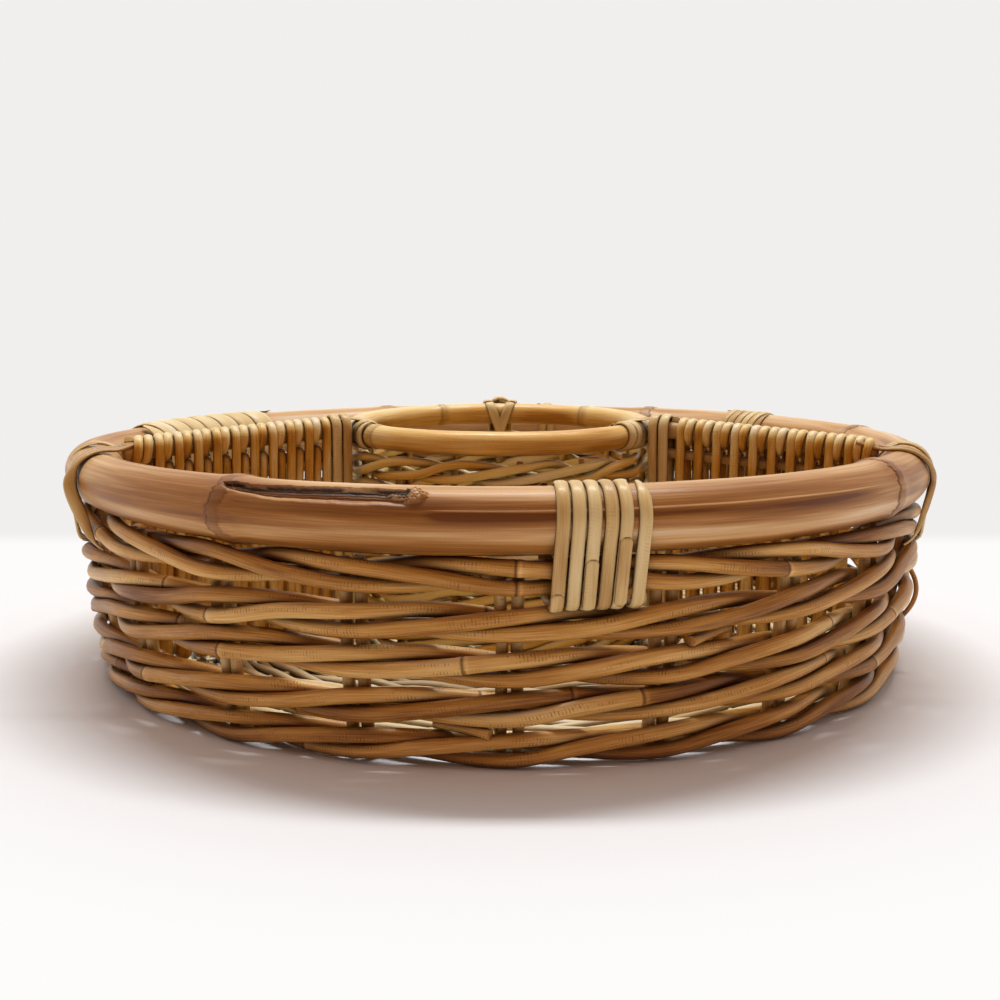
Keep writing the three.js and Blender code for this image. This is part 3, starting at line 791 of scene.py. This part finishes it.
# Dip cup
# A thin golden pole bent to a ring, held above a sleeve woven round its own stakes in the same
# three-rod wale with thinner rods. It stands on the base, and dip goes inside in its own bowl.
ring_low, ring_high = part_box("cup_ring")
CUP_RADIUS = 66.0
CUP_POLE_RADIUS = 5.1
CUP_RING_Z = (ring_low.z + ring_high.z) / 2 / MM
CUP_RING_TILT = 1.0
CUP_STATIONS = 480
CUP_SIDES = 40
CUP_SEAM = math.radians(62)
CUP_NODES = [(-52.0, 0.3), (140.0, 0.35), (-152.0, 0.35), (74.0, 0.3)]
CUP_STAKES = 15
CUP_FIRST_ANGLE = 2 * math.pi * 0.3 / CUP_STAKES
CUP_STAKE_RADIUS = 1.5
CUP_WEAVER_RADIUS = 1.95
CUP_PASS = 3.3
CUP_LIFT = 2.8
CUP_WANDER = 0.9
CUP_ROWS = 8
CUP_STEPS = 6
CUP_END_GAP = 0.6
CUP_WEAVER_SECTION = round_section(10)

# Thin rattan pole with its skin, lacquered: clear golden yellow with a crisp gloss.
golden_pole_skin = rattan(
    "golden_rattan_pole",
    "#ffe29a",
    "#f6c468",
    "#c48630",
    "#6e4113",
    fibre=0.45,
    streaks=0.4,
    blotch=80.0,
    cracks=0.1,
    gloss=0.24,
)


def cup_ring_height(angle):
    """Height of the cup ring, which tilts down a little in front."""
    return CUP_RING_Z - CUP_RING_TILT * np.cos(angle)


turns = CUP_SEAM + 2 * np.pi * np.arange(CUP_STATIONS) / CUP_STATIONS
arc = ((np.degrees(turns) + 180) % 360 - 180) * math.pi / 180 * CUP_RADIUS
section = round_section(CUP_SIDES)
around = np.degrees(np.arctan2(section[:, 1], section[:, 0]))
pole = np.repeat((CUP_POLE_RADIUS + 0.1 * drift(arc, 90, 61))[:, None], CUP_SIDES, axis=1)
bark_and_shade = 0 * pole
for node_degrees, swell in CUP_NODES:
    ragged = 0.6 * drift(around, 200, node_degrees)
    past = arc[:, None] - math.radians(node_degrees) * CUP_RADIUS - ragged[None]
    pole += swell * hump(past, -1.0, 2.6) - 0.2 * hump(past, 0.6, 0.6)
    bark_and_shade += 0.5 * hump(past, 0.6, 0.7) + 0.3 * hump(past, -1.6, 2.0)
ring_line = polar(turns, CUP_RADIUS + 0.4 * drift(arc, 210, 62), cup_ring_height(turns))
# Painted light: the top of the ring is painted lighter as a highlight and its underside darker as shade, over
# a random wander.
ring_tone_and_light = 0.1 * drift(arc, 75, 63)[:, None] + 0.16 * np.cos(np.radians(around))[None]
ring_tube = tube(ring_line, pole, UP, section, closed=True, mark=np.clip(bark_and_shade, 0, 1), tone=ring_tone_and_light)
piece("cup_ring_pole", [ring_tube], golden_pole_skin, "cup_pole", "cup_ring")

# The same rattan in thinner rods, more golden, and painted paler as painted light, since the front of the
# cup lies in shade.
cup_weave_skin = rattan(
    "golden_rattan_rod",
    "#ffe48e",
    "#f4bf56",
    "#ac6e18",
    "#60340f",
    fibre=0.4,
    streaks=0.4,
    blotch=60.0,
    cracks=0.15,
    gloss=0.32,
    stain_and_crevice_shade=0.75,
)
cup_low, cup_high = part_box("cup_wall")
cup_foot, cup_top = cup_low.z / MM, cup_high.z / MM
cup_skins = []
for stake in range(CUP_STAKES):
    angle = CUP_FIRST_ANGLE + 2 * math.pi * stake / CUP_STAKES
    line = polar(angle, CUP_RADIUS, np.linspace(cup_foot + CUP_END_GAP, cup_top - CUP_END_GAP, 10))
    cup_skins.append(rod(line, CUP_STAKE_RADIUS, polar(angle, 1, 0), ROD_SECTION, start=250.0 * stake))


def cup_row_height(row, angle):
    """Height of a row of the cup, the same all round."""
    return cup_foot + (cup_top - cup_foot) / CUP_ROWS * (row + 0.5) + 0 * angle


def cup_stake_line(z):
    """Radius of the line of the cup's stakes, which stand upright."""
    return CUP_RADIUS + 0 * z


cup_places = np.arange(0, 2 * CUP_STAKES - 0.1, 1 / CUP_STEPS)
for row in range(CUP_ROWS):
    for strand in range(3):
        seed = 200 + 3 * row + strand
        line = wale_line(
            CUP_STAKES,
            CUP_FIRST_ANGLE,
            (row + 5 * strand) % CUP_STAKES,
            partial(cup_row_height, row),
            cup_stake_line,
            CUP_PASS,
            CUP_LIFT,
            cup_places,
            CUP_WANDER,
            seed,
        )
        # Painted light: each strand is lifted paler, with some spread from strand to strand.
        tone = 0.22 + 0.16 * math.sin(5.0 * seed)
        skin = rod(line, CUP_WEAVER_RADIUS, UP, CUP_WEAVER_SECTION, start=900.0 * seed, tone=tone)
        cup_skins.append(skin)
piece("cup_weave", cup_skins, cup_weave_skin, "cup_weave", "cup_wall")


# Dividers
# A rod from the cup to the rim wrapped in half-round reed. Every second turn runs down over a foot
# rod on the base, and reed on a middle rod fills the places between.
REED_WIDTH = 3.85
REED_THICKNESS = 2.3
REED_GAP = 0.15
REED_CROWN = 0.55
DIVIDER_ROD_RADIUS = 3.75
DIVIDER_MIDDLE_RADIUS = 2.2
DIVIDER_FOOT_RADIUS = 2.5
DIVIDER_MIDDLE_DROP = 10.0
DIVIDER_TURNS = 21
DIVIDER_ANGLES = {"left": -65.0, "right": 65.0, "back": 180.0}
ROD_START, ROD_END = 73.8, 169.2
ROD_START_Z, ROD_END_Z = 102.7, 96.7
FOOT_START, FOOT_END = 71.6, 162.5
WRAP_START, WRAP_END = 84.5, 167.5
LONG_TURNS_END = 157.0

# Half-round reed split from core, lacquered golden: straw on the crown, brown in the shade.
reed_skin = rattan(
    "half_round_reed",
    "#ffe298",
    "#e2a83e",
    "#a2620e",
    "#5e3813",
    fibre=0.35,
    streaks=0.4,
    blotch=30.0,
    cracks=0.2,
    gloss=0.3,
    stain_and_crevice_shade=0.45,
)


def strip_section(width, thickness, fullness, points=9):
    """A strip with a flat back and a crowned face, its face towards the second axis."""
    across = np.linspace(0, np.pi, points)
    crown = -thickness / 2 + thickness * np.sin(across) ** fullness
    return np.stack([np.cos(across) * width / 2, crown], axis=-1)


def outline_round(rods, count):
    """A tight loop round some round rods, given as (across, up, radius): points from the top onwards,
    evenly spaced, first towards the first axis and then down."""
    rods = np.asarray(rods, float)
    turn = math.pi / 2 - np.linspace(0, 2 * np.pi, 361)
    direction = np.stack([np.cos(turn), np.sin(turn)], axis=-1)
    best = np.argmax(direction @ rods[:, :2].T + rods[:, 2], axis=1)
    loop = rods[best, :2] + rods[best, 2:] * direction
    length = lengths_along(loop)
    even = np.linspace(0, length[-1], count, endpoint=False)
    return np.stack([np.interp(even, length, loop[:, axis]) for axis in (0, 1)], axis=-1)


def winding(loops, pitch, spacing):
    """Loops joined end to end, each a list of rods: points across and up, and how far along each lies."""
    spots, along = [], []
    for number, rods in enumerate(loops):
        size = lengths_along(outline_round(rods, 60))[-1]
        loop = outline_round(rods, max(16, int(size / spacing)))
        spots.append(loop)
        along.append(pitch * (number + np.arange(len(loop)) / len(loop)))
    turn_of = np.repeat(np.arange(len(loops)), [len(loop) for loop in spots])
    return np.concatenate(spots), np.concatenate(along), turn_of


def divider_rod_height(reach):
    """Height of a divider's upper rod, which falls a little from the cup to the rim."""
    return np.interp(reach, [ROD_START, ROD_END], [ROD_START_Z, ROD_END_Z])


foot_heights = {}
reed_section = strip_section(REED_WIDTH, REED_THICKNESS, REED_CROWN)
reed_reach = REED_THICKNESS / 2 + REED_GAP
for side_name, degrees in DIVIDER_ANGLES.items():
    angle = math.radians(degrees)
    outward, sideways = polar(angle, 1, 0), along_rim(angle)
    foot_low, foot_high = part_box(f"divider_{side_name}_foot")
    foot_z = (foot_low.z + foot_high.z) / 2 / MM
    foot_heights[side_name] = foot_z
    reach = np.linspace(ROD_START, ROD_END, 30)
    top_rod = polar(angle, reach, divider_rod_height(reach))
    reach = np.linspace(ROD_START + 1, LONG_TURNS_END + 3, 20)
    middle_rod = polar(angle, reach, divider_rod_height(reach) - DIVIDER_MIDDLE_DROP)
    rods = [
        rod(top_rod, DIVIDER_ROD_RADIUS, UP, round_section(16), start=degrees * 10),
        rod(middle_rod, DIVIDER_MIDDLE_RADIUS, UP, round_section(12), start=degrees * 10 + 400),
    ]
    piece(f"divider_{side_name}_top_rod", rods, stake_skin, "divider_rod", f"divider_{side_name}_rod")
    foot_rod = polar(angle, np.linspace(FOOT_START, FOOT_END, 20), foot_z)
    foot = rod(foot_rod, DIVIDER_FOOT_RADIUS, UP, round_section(12), start=degrees * 10 + 1200)
    piece(f"divider_{side_name}_foot_rod", [foot], stake_skin, "divider_rod", f"divider_{side_name}_foot")

    pitch = (WRAP_END - WRAP_START) / DIVIDER_TURNS
    on_foot = (0, foot_z, DIVIDER_FOOT_RADIUS + reed_reach)
    upper, lower = [], []
    for number in range(DIVIDER_TURNS):
        at = WRAP_START + pitch * number
        on_top = (0, float(divider_rod_height(at)), DIVIDER_ROD_RADIUS + reed_reach)
        on_middle = (0, on_top[1] - DIVIDER_MIDDLE_DROP, DIVIDER_MIDDLE_RADIUS + reed_reach)
        is_long = number % 2 == 0 and at < LONG_TURNS_END
        upper.append([on_top, on_foot] if is_long else [on_top])
        if number % 2 and at < LONG_TURNS_END - pitch:
            lower.append([on_middle, on_foot])
    reed_skins = []
    for loops, first, advance in ((upper, WRAP_START, pitch), (lower, WRAP_START + pitch, 2 * pitch)):
        spots, along, turn_of = winding(loops, advance, 1.6)
        line = polar(angle, first + along, spots[:, 1]) + spots[:, :1] * sideways
        # Painted highlight: the reed is painted paler where it lies over the top of the upper rod.
        painted_top_highlight = step(spots[:, 1] - divider_rod_height(first + along), 0.5, 4.5)
        tone = 0.08 * np.sin(2.4 * turn_of) + 0.02 + 0.32 * painted_top_highlight
        reed_skins.append(rod(line, 1.0, -outward, reed_section, 0.05, start=degrees * 50 + first, tone=tone))
    piece(f"divider_{side_name}_wrap", reed_skins, reed_skin, "reed", f"divider_{side_name}_reed")


# Lashings
# Flat peel split from the skin of the cane, soaked, wound tight and tucked under itself. It binds
# the rim to the top row of weaving, closes the rim's scarf joint, and holds the cup and dividers.
PEEL_THICKNESS = 1.35
PEEL_WIDTH = 4.75
PEEL_PITCH = 5.0
PEEL_CROWN = 0.68
CUP_PEEL_WIDTH = 5.4
CUP_PEEL_PITCH = 5.5
PEEL_GAP = PEEL_THICKNESS / 2 + 0.2
PEEL_SAG = 3.75
PEEL_WANDER = 0.2
ROW_SLACK = 0.15
RIM_TURNS = 6
FRONT_BAY, BACK_BAY = 0.5, 7.5
FRONT_SHIFTS = (-0.9, 0.1)
FLAP_LIFT = 0.55
FLAP_POINTS = 160
# Ends of peel over the front lashing: the turn each lies on, and from where to where round it.
FLAPS = [(3, 0.27, 0.44), (1, 0.21, 0.42), (5, 0.37, 0.46)]
SPLICE_WIDTH = 12.2
SPLICE_PITCH = 13.0
SPLICE_TURNS = 8

# Rattan peel, unstained: pale cream straw with a waxy gloss, its fibres as faint darker lines.
peel_skin = rattan(
    "rattan_peel",
    "#f6dfa6",
    "#e6c583",
    "#c0934f",
    "#6b4720",
    fibre=0.35,
    streaks=0.35,
    blotch=40.0,
    cracks=0.15,
    gloss=0.3,
)


def from_ends(line):
    """How many points each point of a line is from its nearer end."""
    number = np.arange(len(line))
    return np.minimum(number, number[::-1])


def lash(circle_radius, middle_angle, loops, width, pitch, lean=-1.0, seed=0, shifts=(), pale=0.0):
    """A strip wound round rods that follow a circle, turn beside turn."""
    spots, along, turn_of = winding(loops, pitch, 2.0)
    nudge = np.zeros(len(loops))
    nudge[: len(shifts)] = shifts
    sway = PEEL_WANDER * drift(along, 2.7 * pitch, seed)
    along = along - pitch * len(loops) / 2 + nudge[turn_of] + sway
    angle = middle_angle + lean * along / circle_radius
    line = polar(angle, spots[:, 0], spots[:, 1])
    tone = pale + 0.1 * np.sin(1.9 * turn_of + seed)
    section = strip_section(width, PEEL_THICKNESS, PEEL_CROWN)
    tapered = np.clip(0.3 + 0.14 * from_ends(line), 0, 1)
    return rod(line, tapered, along_rim(angle), section, 0.05, start=700.0 * seed, tone=tone)


top_row_z = row_heights[-1] - WEAVER_LIFT - PEEL_SAG
top_row_line = float(stake_line(top_row_z))
weaver_reach = WEAVER_RADIUS + PEEL_GAP + ROW_SLACK
on_rim = (RIM_RADIUS, RIM_Z, RIM_POLE_RADIUS + PEEL_GAP)
on_rim_and_row = [
    on_rim,
    (top_row_line + WEAVER_PASS, top_row_z, weaver_reach),
    (top_row_line - WEAVER_PASS, top_row_z, weaver_reach),
]
bay = 2 * math.pi / STAKE_COUNT
front_angle = STAKE_FIRST_ANGLE + FRONT_BAY * bay
back_angle = STAKE_FIRST_ANGLE + BACK_BAY * bay
rim_loops = [on_rim_and_row] * RIM_TURNS
front_turns = lash(RIM_RADIUS, front_angle, rim_loops, PEEL_WIDTH, PEEL_PITCH, seed=1, shifts=FRONT_SHIFTS)


def flap(turn_number, from_share, to_share):
    """A second end of peel laid over a turn of the front lashing, cut to a point."""
    loop = outline_round([(x, z, r + FLAP_LIFT) for x, z, r in on_rim_and_row], FLAP_POINTS)
    share = np.arange(FLAP_POINTS) / FLAP_POINTS
    chosen = (share >= from_share) & (share <= to_share)
    along = PEEL_PITCH * (turn_number + share - RIM_TURNS / 2)
    angle = (front_angle - along / RIM_RADIUS)[chosen]
    line = polar(angle, loop[chosen, 0], loop[chosen, 1])
    section = strip_section(PEEL_WIDTH * 0.94, PEEL_THICKNESS * 0.7, 0.5)
    width = np.clip(0.45 + 0.3 * from_ends(line), 0, 1)
    # Painted shadow: a dark line at each cut end of the flap, where its edge lies over the turn beneath.
    mark = 0.8 * hump(from_ends(line), 0, 0.6)
    return rod(line, width, along_rim(angle), section, 0.1, start=50.0 * turn_number, mark=mark)


flaps = [flap(*one) for one in FLAPS]
piece("front_lashing", [front_turns] + flaps, peel_skin, "peel", "lashing_front")
back_turns = lash(RIM_RADIUS, back_angle, rim_loops, PEEL_WIDTH, PEEL_PITCH, seed=2)
piece("back_lashing", [back_turns], peel_skin, "peel", "lashing_back")
# The splice turns are painted paler, a painted highlight where the lamp falls on them.
splice_turns = lash(
    RIM_RADIUS,
    SPLICE_ANGLE,
    [[on_rim]] * SPLICE_TURNS,
    SPLICE_WIDTH,
    SPLICE_PITCH,
    lean=1.0,
    seed=3,
    pale=0.2,
)
piece("splice_wrap", [splice_turns], peel_skin, "peel", "splice_binding")

TIE_DROP = 20.0
END_LASH_OFFSET = math.radians(9)
STRAP_EASE = 4.0
STRAP_THICKNESS = 1.5
STRAP_GAP = 0.4
STRAP_INSET = 7.0
STRAP_RISE = 4.4
# Two straps to a side: width, twist in degrees, and where each lies along the rim.
STRAPS = {
    "left": [(5.6, 56, (0.0, -1.5, -3.6, -6.8)), (4.2, 56, (2.2, 1.0, -3.3, -6.6))],
    "right": [(3.5, 30, (-1.5, 0.5, 3.4, -3.0)), (2.8, 30, (2.0, 2.2, 3.6, -2.8))],
}
V_SPREAD = 0.085
V_MEET_DROP = 8.0
CUFF_PLACES = (75.7, 80.4)
CUFF_WIDTH = 4.4
CUP_WRAPS = {"left": (3, -65.0), "right": (4, 59.0)}
CUP_TIE_REACH = 3.0
CUP_TIE_ASIDE = 0.12
CUP_TIE_PITCH = 2.0


def softened(stops, spacing, ease):
    """A line through some stops, evenly spaced, with its corners rounded off over a length."""
    stops = np.asarray(stops, float)
    length = lengths_along(stops[:, :2])
    even = np.linspace(0, length[-1], int(length[-1] / spacing))
    line = np.stack([np.interp(even, length, stops[:, axis]) for axis in range(stops.shape[1])], axis=-1)
    weight = np.exp(-(((even[:, None] - even) / ease) ** 2))
    short = np.minimum(even, even[-1] - even)[:, None] / ease
    smooth = weight @ line / weight.sum(axis=1, keepdims=True)
    return np.where(short < 1, line + (smooth - line) * short, smooth)


def strap(degrees, width, twist_degrees, offsets):
    """A strap of peel from a divider's end over the rim and down to the top row. Where it hangs it turns on
    edge. The offsets are degrees along the rim at its start, on the rim, beside it and at the row."""
    way = math.copysign(1, degrees)
    full_twist = math.radians(twist_degrees)
    stand_off = width / 2 * math.sin(full_twist)
    foot_z = row_heights[-1] - WEAVER_LIFT - WEAVER_RADIUS
    row_face = top_row_line + WEAVER_PASS + WEAVER_RADIUS
    stops = [(ROD_END - STRAP_INSET, ROD_END_Z + STRAP_RISE)]
    for turn in range(115, -20, -9):
        reach = RIM_POLE_RADIUS + STRAP_GAP + STRAP_THICKNESS / 2 + stand_off * step(turn, 75, 5)
        around = math.radians(turn)
        stops.append((RIM_RADIUS + reach * math.cos(around), RIM_Z + reach * math.sin(around)))
    stops += [(row_face + 2.0, foot_z + 7), (row_face + 1.0, foot_z + 2), (row_face - 3, foot_z - 1)]
    out, up = softened(stops, 1.2, STRAP_EASE).T
    progress = np.linspace(0, 1, len(out))
    angle = math.radians(degrees) + way * np.radians(np.interp(progress, [0, 0.3, 0.6, 1], offsets))
    hanging = step(RIM_Z + 9 - up, 0, 9) * step(up, foot_z, foot_z + 7)
    twist = (full_twist * hanging)[:, None]
    side = along_rim(angle) * np.cos(twist) + way * polar(angle, 1, 0) * np.sin(twist)
    section = strip_section(width, STRAP_THICKNESS, PEEL_CROWN)
    narrowing = 1 - 0.4 * step(up, foot_z + 16, foot_z + 3)
    line = polar(angle, out, up)
    return rod(line, narrowing, side, section, 0.05, start=3000.0 + degrees, tone=-0.2)


def crossed_tie(angle, rods, way, seed):
    """A turn of peel that slants in towards the middle on its way down."""
    spots, _, _ = winding([rods], 1.0, 2.0)
    meet, top = rods[0][1] - V_MEET_DROP, spots[:, 1].max()
    slant = angle + way * V_SPREAD * np.clip((spots[:, 1] - meet) / (top - meet), 0, 1)
    line = polar(slant, spots[:, 0], spots[:, 1])
    section = strip_section(PEEL_WIDTH, PEEL_THICKNESS, PEEL_CROWN)
    return rod(line, 1.0, along_rim(slant), section, 0.05, start=800.0 * seed, tone=0.08)


def cuff(degrees, reach, foot_z, seed):
    """A turn of peel round a divider's two rods, beside the cup."""
    angle = math.radians(degrees)
    on_top = (0, ROD_START_Z, DIVIDER_ROD_RADIUS + PEEL_GAP + PEEL_THICKNESS)
    loop = outline_round([on_top, (0, foot_z, DIVIDER_FOOT_RADIUS + PEEL_GAP)], 140)
    loop = np.concatenate([loop, loop[:2]])
    line = polar(angle, reach, loop[:, 1]) + loop[:, :1] * along_rim(angle)
    section = strip_section(CUFF_WIDTH, PEEL_THICKNESS, PEEL_CROWN)
    return rod(line, 1.0, -polar(angle, 1, 0), section, 0.05, start=500.0 * seed, tone=0.1 * (seed % 2))


for number, (side_name, degrees) in enumerate(DIVIDER_ANGLES.items()):
    angle = math.radians(degrees)
    is_side = abs(degrees) < 90
    way = math.copysign(1, degrees)
    end_angle = angle + END_LASH_OFFSET * (way if is_side else -1)
    end_loops = [on_rim_and_row if is_side else [on_rim]] * 2
    end_turns = [lash(RIM_RADIUS, end_angle, end_loops, PEEL_WIDTH, PEEL_PITCH, seed=4 + number)]
    if is_side:
        end_turns += [strap(degrees, *one) for one in STRAPS[side_name]]
    piece(f"{side_name}_end_lashing", end_turns, peel_skin, "peel", f"lashing_{side_name}_end")
    ring_z = float(cup_ring_height(angle))
    on_ring = (CUP_RADIUS, ring_z, CUP_POLE_RADIUS + PEEL_GAP)
    on_rod = (ROD_START + CUP_TIE_REACH, ROD_START_Z, DIVIDER_ROD_RADIUS + PEEL_GAP)
    on_wall = (CUP_RADIUS, ring_z - TIE_DROP, CUP_PASS + CUP_WEAVER_RADIUS + PEEL_GAP)
    cup_turns = []
    if is_side:
        wraps, wraps_degrees = CUP_WRAPS[side_name]
        for place, loops, width, pitch, seed in (
            (angle, [[on_ring, on_rod]], CUP_PEEL_WIDTH, CUP_PEEL_PITCH, 12),
            (math.radians(wraps_degrees), [[on_ring]] * wraps, CUP_PEEL_WIDTH, CUP_PEEL_PITCH, 8),
            (angle + CUP_TIE_ASIDE * way, [[on_ring, on_rod, on_wall]], PEEL_WIDTH, CUP_TIE_PITCH, 16),
        ):
            cup_turns.append(lash(CUP_RADIUS, place, loops, width, pitch, seed=seed + number))
    else:
        cup_turns += [crossed_tie(angle, [on_ring, on_rod, on_wall], slant, 20 + slant) for slant in (-1, 1)]
    for place, reach in enumerate(CUFF_PLACES):
        cup_turns.append(cuff(degrees, reach, foot_heights[side_name], 30 + 2 * number + place))
    piece(f"{side_name}_cup_lashing", cup_turns, peel_skin, "peel", f"lashing_{side_name}_cup")
